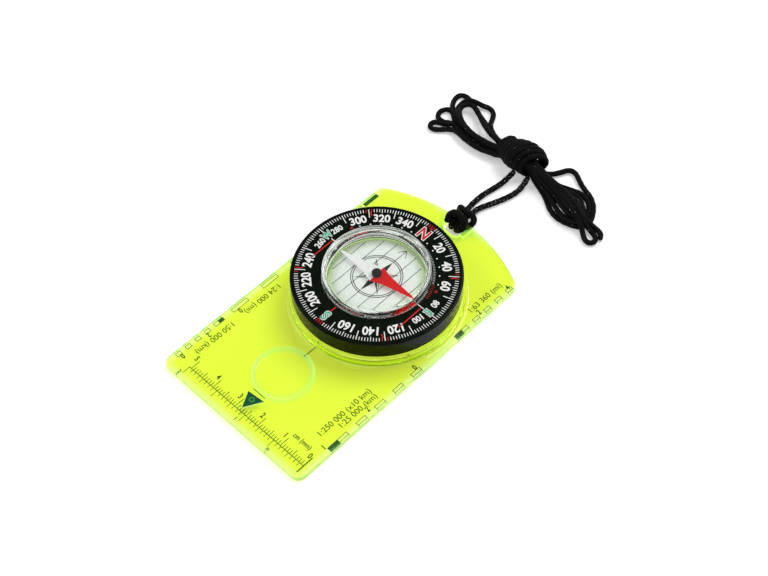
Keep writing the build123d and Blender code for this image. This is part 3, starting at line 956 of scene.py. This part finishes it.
def bezel_prints():
    """Degree ring: ticks every 2 degrees, figures every 20, declination arc, red guide lines."""
    white = Print("degree_marks_white", "white_ink", "bezel", "bezel_black", BEZEL_TOP)
    red = Print("degree_marks_red", "red_ink", "bezel", "bezel_black", BEZEL_TOP)
    for degrees in range(0, 360, 2):
        inner, width = TICK_R, 0.24
        if degrees % 10 == 0:
            inner = TICK_TEN_R
        if degrees in LONG_TICKS:
            inner, width = TICK_LONG_R, 0.3
        near_red = any(abs((degrees - mark + 180) % 360 - 180) <= 2 for mark in RED_MARKS)
        target = red if near_red and degrees not in LONG_TICKS else white
        spoke(target, inner, TICK_OUTER_R, degrees, width)
    for mark in RED_MARKS:
        red.line(*around(23.4, mark + 2.2), *around(24.9, mark + 1.2), 0.35)
    for degrees in range(20, 360, 20):
        if degrees != SOUTH:
            radius, height = SMALLER if degrees in SMALL_FIGURES else FIGURES
            white.text(str(degrees), *around(radius, degrees), height, -degrees, 0.90, 0.03)
    for degrees in range(-ARC_END, ARC_END + 1, 2):
        spoke(white, *ARC_R, degrees, 0.11)
    for degrees in range(-ARC_END, ARC_END + 1, 10):
        if degrees:
            white.disc(*around(19.8, degrees), 0.26, 12)
    for side in (-1, 1):
        for k in range(9):
            spoke(red, *RED_ARC_R, side * (ARC_END + 2 + 2 * k), 0.12)
        place = side * (ARC_END + 8)
        red.text(str(ARC_END), *around(20.0, place), 0.9, -place)
        x = side * GUIDE_X
        red.line(x, AXIS_Y_MM - 0.4, x, AXIS_Y_MM - 10.2, 0.42)
        white.line(x - side * 1.6, AXIS_Y_MM, x + side * 0.9, AXIS_Y_MM, 0.3)
    spoke(red, 18.0, 20.6, SOUTH, 0.42)
    white.done()
    red.done()


def letter(words, degrees, radius, height, key, condense, rim):
    """A cardinal letter: a coloured figure on a wider white one."""
    x, y = around(radius, degrees)
    back = Print(f"letter_{words}_rim", "white_ink", "bezel", "bezel_black", BEZEL_TOP)
    back.text(words, x, y, height, -degrees, condense, rim)
    back.done()
    face = Print(f"letter_{words}", key, "bezel", "bezel_black", BEZEL_TOP + INK)
    face.text(words, x, y, height, -degrees, condense)
    face.done()


LINE_LIMIT_R = 14.4           # the orienting lines end on this circle
LINE_STEP = 4.05
CIRCLES_R = (7.6, 8.25)
ARROW_TIP = 13.8
STAR_WAIST = 2.4


def dial_prints():
    """Orienting lines, arrow, double circle and star on the dial's card."""
    grey = Print("orienting_lines", "grey_ink", "bezel", "card_white", CARD_TOP, 0.04 * MM)
    black = Print("dial_rose", "black_ink", "bezel", "card_white", CARD_TOP, 0.04 * MM)
    y0 = AXIS_Y_MM
    for k in (-3, -2, -1, 1, 2, 3):
        x = LINE_STEP * k
        half = math.sqrt(LINE_LIMIT_R ** 2 - x ** 2)
        grey.line(x, y0 - half, x, y0 + half, 0.2)
    black.line(0, y0 + CIRCLES_R[0], 0, y0 + ARROW_TIP, 0.2)
    black.line(0, y0 - CIRCLES_R[0], 0, y0 - 13.6, 0.18)
    for side in (-1, 1):
        black.line(0, y0 + ARROW_TIP, side * 1.75, y0 + 11.3, 0.2)
    for radius in CIRCLES_R:
        black.hoop(0, y0, radius, 0.24)
    for k in range(8):
        a = math.radians(45 * k)
        tip = 7.4 if k % 4 == 0 else 6.9
        width = 1.05 if k % 2 == 0 else 0.7
        ux, uy = math.sin(a), math.cos(a)
        waist_x, waist_y = STAR_WAIST * ux, y0 + STAR_WAIST * uy
        end = (tip * ux, y0 + tip * uy)
        left = (waist_x - width * uy, waist_y + width * ux)
        right = (waist_x + width * uy, waist_y - width * ux)
        middle = (0.8 * STAR_WAIST * ux, y0 + 0.8 * STAR_WAIST * uy)
        black.outline([middle, right, end])
        if k % 4 == 0:
            black.outline([middle, end, left])
        else:
            black.line(*left, *end, 0.14)
            black.line(*left, *middle, 0.14)
    grey.done()
    black.done()


INCH = 25.4
RULER_Y = -47.8
RULER_ZERO = 27.3
CM_TICKS = ((10, 3.6), (5, 2.4), (1, 1.5))  # every so many millimetres, length
INCH_TICKS = ((16, 2.9), (8, 2.7), (4, 1.8), (1, 1.3))  # every so many sixteenths, length


def tick_length(ticks, k):
    """Length of the k-th tick of a ruler."""
    return next(length for every, length in ticks if k % every == 0)


def ruler_prints(lines):
    """Centimetre and inch rulers along the front edge, zero at the right."""
    for k in range(51):
        x = RULER_ZERO - k
        lines.line(x, RULER_Y, x, RULER_Y + tick_length(CM_TICKS, k), 0.2)
    for k in range(6):
        shift = 0.9 if k == 0 else 1.4
        lines.text(str(k), RULER_ZERO - 10 * k - shift, RULER_Y + 3.8, 2.0, 0)
    for k in range(33):
        x = RULER_ZERO - INCH * k / 16
        lines.line(x, RULER_Y, x, RULER_Y - tick_length(INCH_TICKS, k), 0.18)
    lines.line(RULER_ZERO + 0.1, RULER_Y, RULER_ZERO - 51, RULER_Y, 0.2)
    lines.line(RULER_ZERO + 0.15, RULER_Y - 2.8, RULER_ZERO + 0.15, RULER_Y + 3.8, 0.25)
    lines.text("cm (mm)", 21.2, -42.1, 1.7, 0, 0.85, 0.015)
    lines.text("in", 15.5, -51.0, 1.4, 0, 0.85, 0.015)
    lines.text("1", 0.6, -50.5, 1.5, 0)
    lines.text("2", -24.6, -51.0, 1.5, 0)


RIGHT_SCALE = (28.2, 29.5)  # from x to x
LEFT_SCALE = (-30.3, -28.8)


def side_scale(lines, edges, low, step, length):
    """Five open rectangles of a map scale along a side edge."""
    for k in range(5):
        start = low + step * k
        lines.frame(edges[0], start, edges[1], start + length, 0.17)


def scale_words(lines, turn, figures, names):
    """Figures and names of map scales; each is (words, x, y)."""
    for words, x, y in figures:
        lines.text(words, x, y, 2.0, turn)
    for words, x, y in names:
        lines.text(words, x, y, 2.1, turn, 0.98, 0.0)


def plate_prints():
    """Rulers, map scales, direction mark and index lines on the plate."""
    base = 0.03 * MM              # just above the plate's lower face
    lines = Print("plate_lines", "olive_ink", "plate", "plate_acrylic", base)
    solid = Print("plate_blocks", "green_ink", "plate", "plate_acrylic", base)
    ruler_prints(lines)
    lines.line(-3.24, -39.54, 1.95, -39.60, 0.22)
    lines.line(-0.35, -14.2, -0.35, -20.8, 0.3)
    solid.box(28.2, -38.8, 29.5, -34.8)
    side_scale(lines, RIGHT_SCALE, -34.8, 8.0, 4.0)
    solid.box(28.2, 17.0, 29.6, 20.3)
    side_scale(lines, RIGHT_SCALE, 20.4, 5.25, 2.62)
    scale_words(
        lines, 90,
        [("1", 27.1, -39.3), ("2", 27.3, -20.8), ("0", 27.3, 0.1), ("2", 27.7, 29.4), ("4", 27.9, 43.0)],
        [("1:250 000 (x10 km)", 22.9, -26.4), ("1:25 000 (km)", 25.5, -23.2),
         ("1:63 360 (mi)", 25.3, 34.9)],
    )
    side_scale(lines, LEFT_SCALE, -47.9, 4.0, 2.0)
    solid.box(-30.3, -30.0, -28.8, -28.0)
    side_scale(lines, LEFT_SCALE, -24.3, 13.1, 6.75)
    solid.box(-30.3, 35.9, -28.8, 42.2)
    scale_words(
        lines, -90,
        [("0", -28.0, -46.6), ("2", -28.0, -35.6), ("0", -27.8, -22.3)],
        [("1:50 000 (km)", -25.7, -34.9), ("1:24 000 (mi)", -26.0, -14.1)],
    )
    lines.done()
    solid.done()
    # Painted highlight: a pale edge that shows mostly on the direction mark's lower right side, as light
    # would catch it.
    pale = Print("direction_mark_lit_edge", "lit_edge_ink", "plate", "plate_acrylic", PLATE_TOP)
    pale.outline([(-2.95, -41.75), (3.75, -41.1), (0.25, -47.7)])
    pale.done()
    mark = Print("direction_mark", "green_ink", "plate", "plate_acrylic", PLATE_TOP + INK)
    mark.outline([(-2.9, -41.8), (3.3, -41.2), (0.0, -47.1)])
    mark.done()
    eye = Print("direction_mark_eye", "lime_ink", "plate", "plate_acrylic", PLATE_TOP + 2 * INK)
    eye.hoop(0.15, -43.2, 0.75, 0.25, 24)
    eye.done()


# ---- liquid and card ----
ROUND_STEPS = 128
LIQUID_EDGE = 0.5 * MM
LIQUID_EDGE_STEPS = 6
CARD_HOLE_R = 1.4 * MM
CARD_EDGE = 0.04 * MM


def ring_points(profile):
    """Points round the turning axis for each (radius, height) of a profile."""
    angles = [TAU * j / ROUND_STEPS for j in range(ROUND_STEPS)]
    return [(r * math.cos(a), AXIS_Y + r * math.sin(a), z) for r, z in profile for a in angles]


def damping_liquid():
    """The liquid body that fills the capsule, with rounded upper edge."""
    wall = COVER_R - COVER_WALL - HAIR
    top = cover_high.z - COVER_WALL - HAIR
    low = CARD_TOP + HAIR
    edge = LIQUID_EDGE
    profile = [(wall, low)]
    for k in range(LIQUID_EDGE_STEPS + 1):
        a = TAU / 4 * k / LIQUID_EDGE_STEPS
        profile.append((wall - edge + edge * math.cos(a), top - edge + edge * math.sin(a)))
    verts = [(0, AXIS_Y, low), (0, AXIS_Y, top)] + ring_points(profile)
    last = 2 + (len(profile) - 1) * ROUND_STEPS
    faces = []
    for j in range(ROUND_STEPS):
        nxt = (j + 1) % ROUND_STEPS
        faces.append((0, 2 + nxt, 2 + j))
        for a in range(2, last, ROUND_STEPS):
            b = a + ROUND_STEPS
            faces.append((a + j, a + nxt, b + nxt, b + j))
        faces.append((last + j, last + nxt, 1))
    piece = new_object("damping_liquid", verts, faces, "liquid", "bezel")
    for polygon in piece.data.polygons:
        polygon.use_smooth = abs(polygon.normal.z) < 0.98


def dial_card():
    """The film disc that carries the rose, a hair clear of the faces above and below it."""
    inner, outer, edge = CARD_HOLE_R, CARD_R, CARD_EDGE
    low, top = card_low.z + 2 * HAIR, CARD_TOP - HAIR
    profile = [(inner, low), (inner, top), (outer - edge, top), (outer, top - edge),
               (outer, low + edge), (outer - edge, low)]
    faces = []
    for k in range(len(profile)):
        a, b = k * ROUND_STEPS, (k + 1) % len(profile) * ROUND_STEPS
        for j in range(ROUND_STEPS):
            nxt = (j + 1) % ROUND_STEPS
            faces.append((a + j, b + j, b + nxt, a + nxt))
    piece = new_object("dial_card_film", ring_points(profile), faces, "card", "bezel")
    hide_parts("dial_card")


# ---- the pieces, in order ----
bezel_prints()
dial_card()
letter("N", 0, 21.9, 4.3, "red_ink", 0.85, 0.07)
letter("S", 180, 22.6, 3.6, "teal_ink", 0.85, 0.07)
letter("E", 90, 22.3, 2.9, "teal_ink", 0.9, 0.07)
letter("W", 270, 22.3, 2.9, "teal_ink", 0.8, 0.07)
dial_prints()
plate_prints()
damping_liquid()

for node, key in (
    ("baseplate", "acrylic"), ("friction_ring", "slip"), ("bezel_ring", "bezel"),
    ("retaining_ring", "ring"), ("capsule_cover", "cover"), ("capsule_base", "base"),
    ("capsule_seal", "rubber"), ("filler_plug", "slip"),
    ("pivot_pin", "steel"), ("needle_blade", "needle"), ("needle_bush", "brass"),
    ("needle_jewel", "jewel"), ("hub_cap", "hub"),
):
    dress(node, key)


# ---- stage and light ----
FLOOR_REACH = 3.0
FLOOR_Z = -0.03 * MM


def lamp(name, place, size_x, size_y, power):
    """A rectangular lamp that looks at the part."""
    light = bpy.data.lights.new(name, "AREA")
    light.shape = "RECTANGLE"
    light.size = size_x
    light.size_y = size_y
    light.energy = power
    thing = bpy.data.objects.new(name, light)
    thing.location = place
    aim = Vector((0, 0.01, 0)) - Vector(place)
    thing.rotation_euler = aim.to_track_quat("-Z", "Y").to_euler()
    scene.collection.objects.link(thing)


def stage():
    """Plain pale floor, soft light from above and the sides."""
    data = bpy.data.meshes.new("floor")
    corners = [(x * FLOOR_REACH, y * FLOOR_REACH, FLOOR_Z) for x, y in ((-1, -1), (1, -1), (1, 1), (-1, 1))]
    data.from_pydata(corners, [], [(0, 1, 2, 3)])
    floor = bpy.data.objects.new("floor", data)
    material, tree, shader = new_material("floor_pale")
    put(shader, "Base Color", (0.95, 0.95, 0.95, 1))
    put(shader, "Emission Color", (1, 1, 1, 1))
    put(shader, "Emission Strength", 0.36)
    put(shader, "Roughness", 0.9)
    put(shader, "Specular IOR Level", 0.1)
    data.materials.append(material)
    scene.collection.objects.link(floor)

    world = bpy.data.worlds.new("world")
    world.use_nodes = True
    background = world.node_tree.nodes["Background"]
    put(background, "Color", (1, 1, 1, 1))
    put(background, "Strength", 0.2)
    scene.world = world

    lamp("key", (0.05, 0.82, 1.3), 1.0, 1.0, 15.5)
    lamp("fill", (-1.05, -0.4, 0.95), 1.0, 1.0, 5.5)
    lamp("front", (0.5, -1.2, 0.9), 1.2, 0.8, 3.0)
    scene.view_settings.view_transform = "Standard"
    scene.cycles.transparent_max_bounces = 32
    scene.cycles.max_bounces = 16
    scene.cycles.transmission_bounces = 16
    scene.cycles.glossy_bounces = 8


stage()
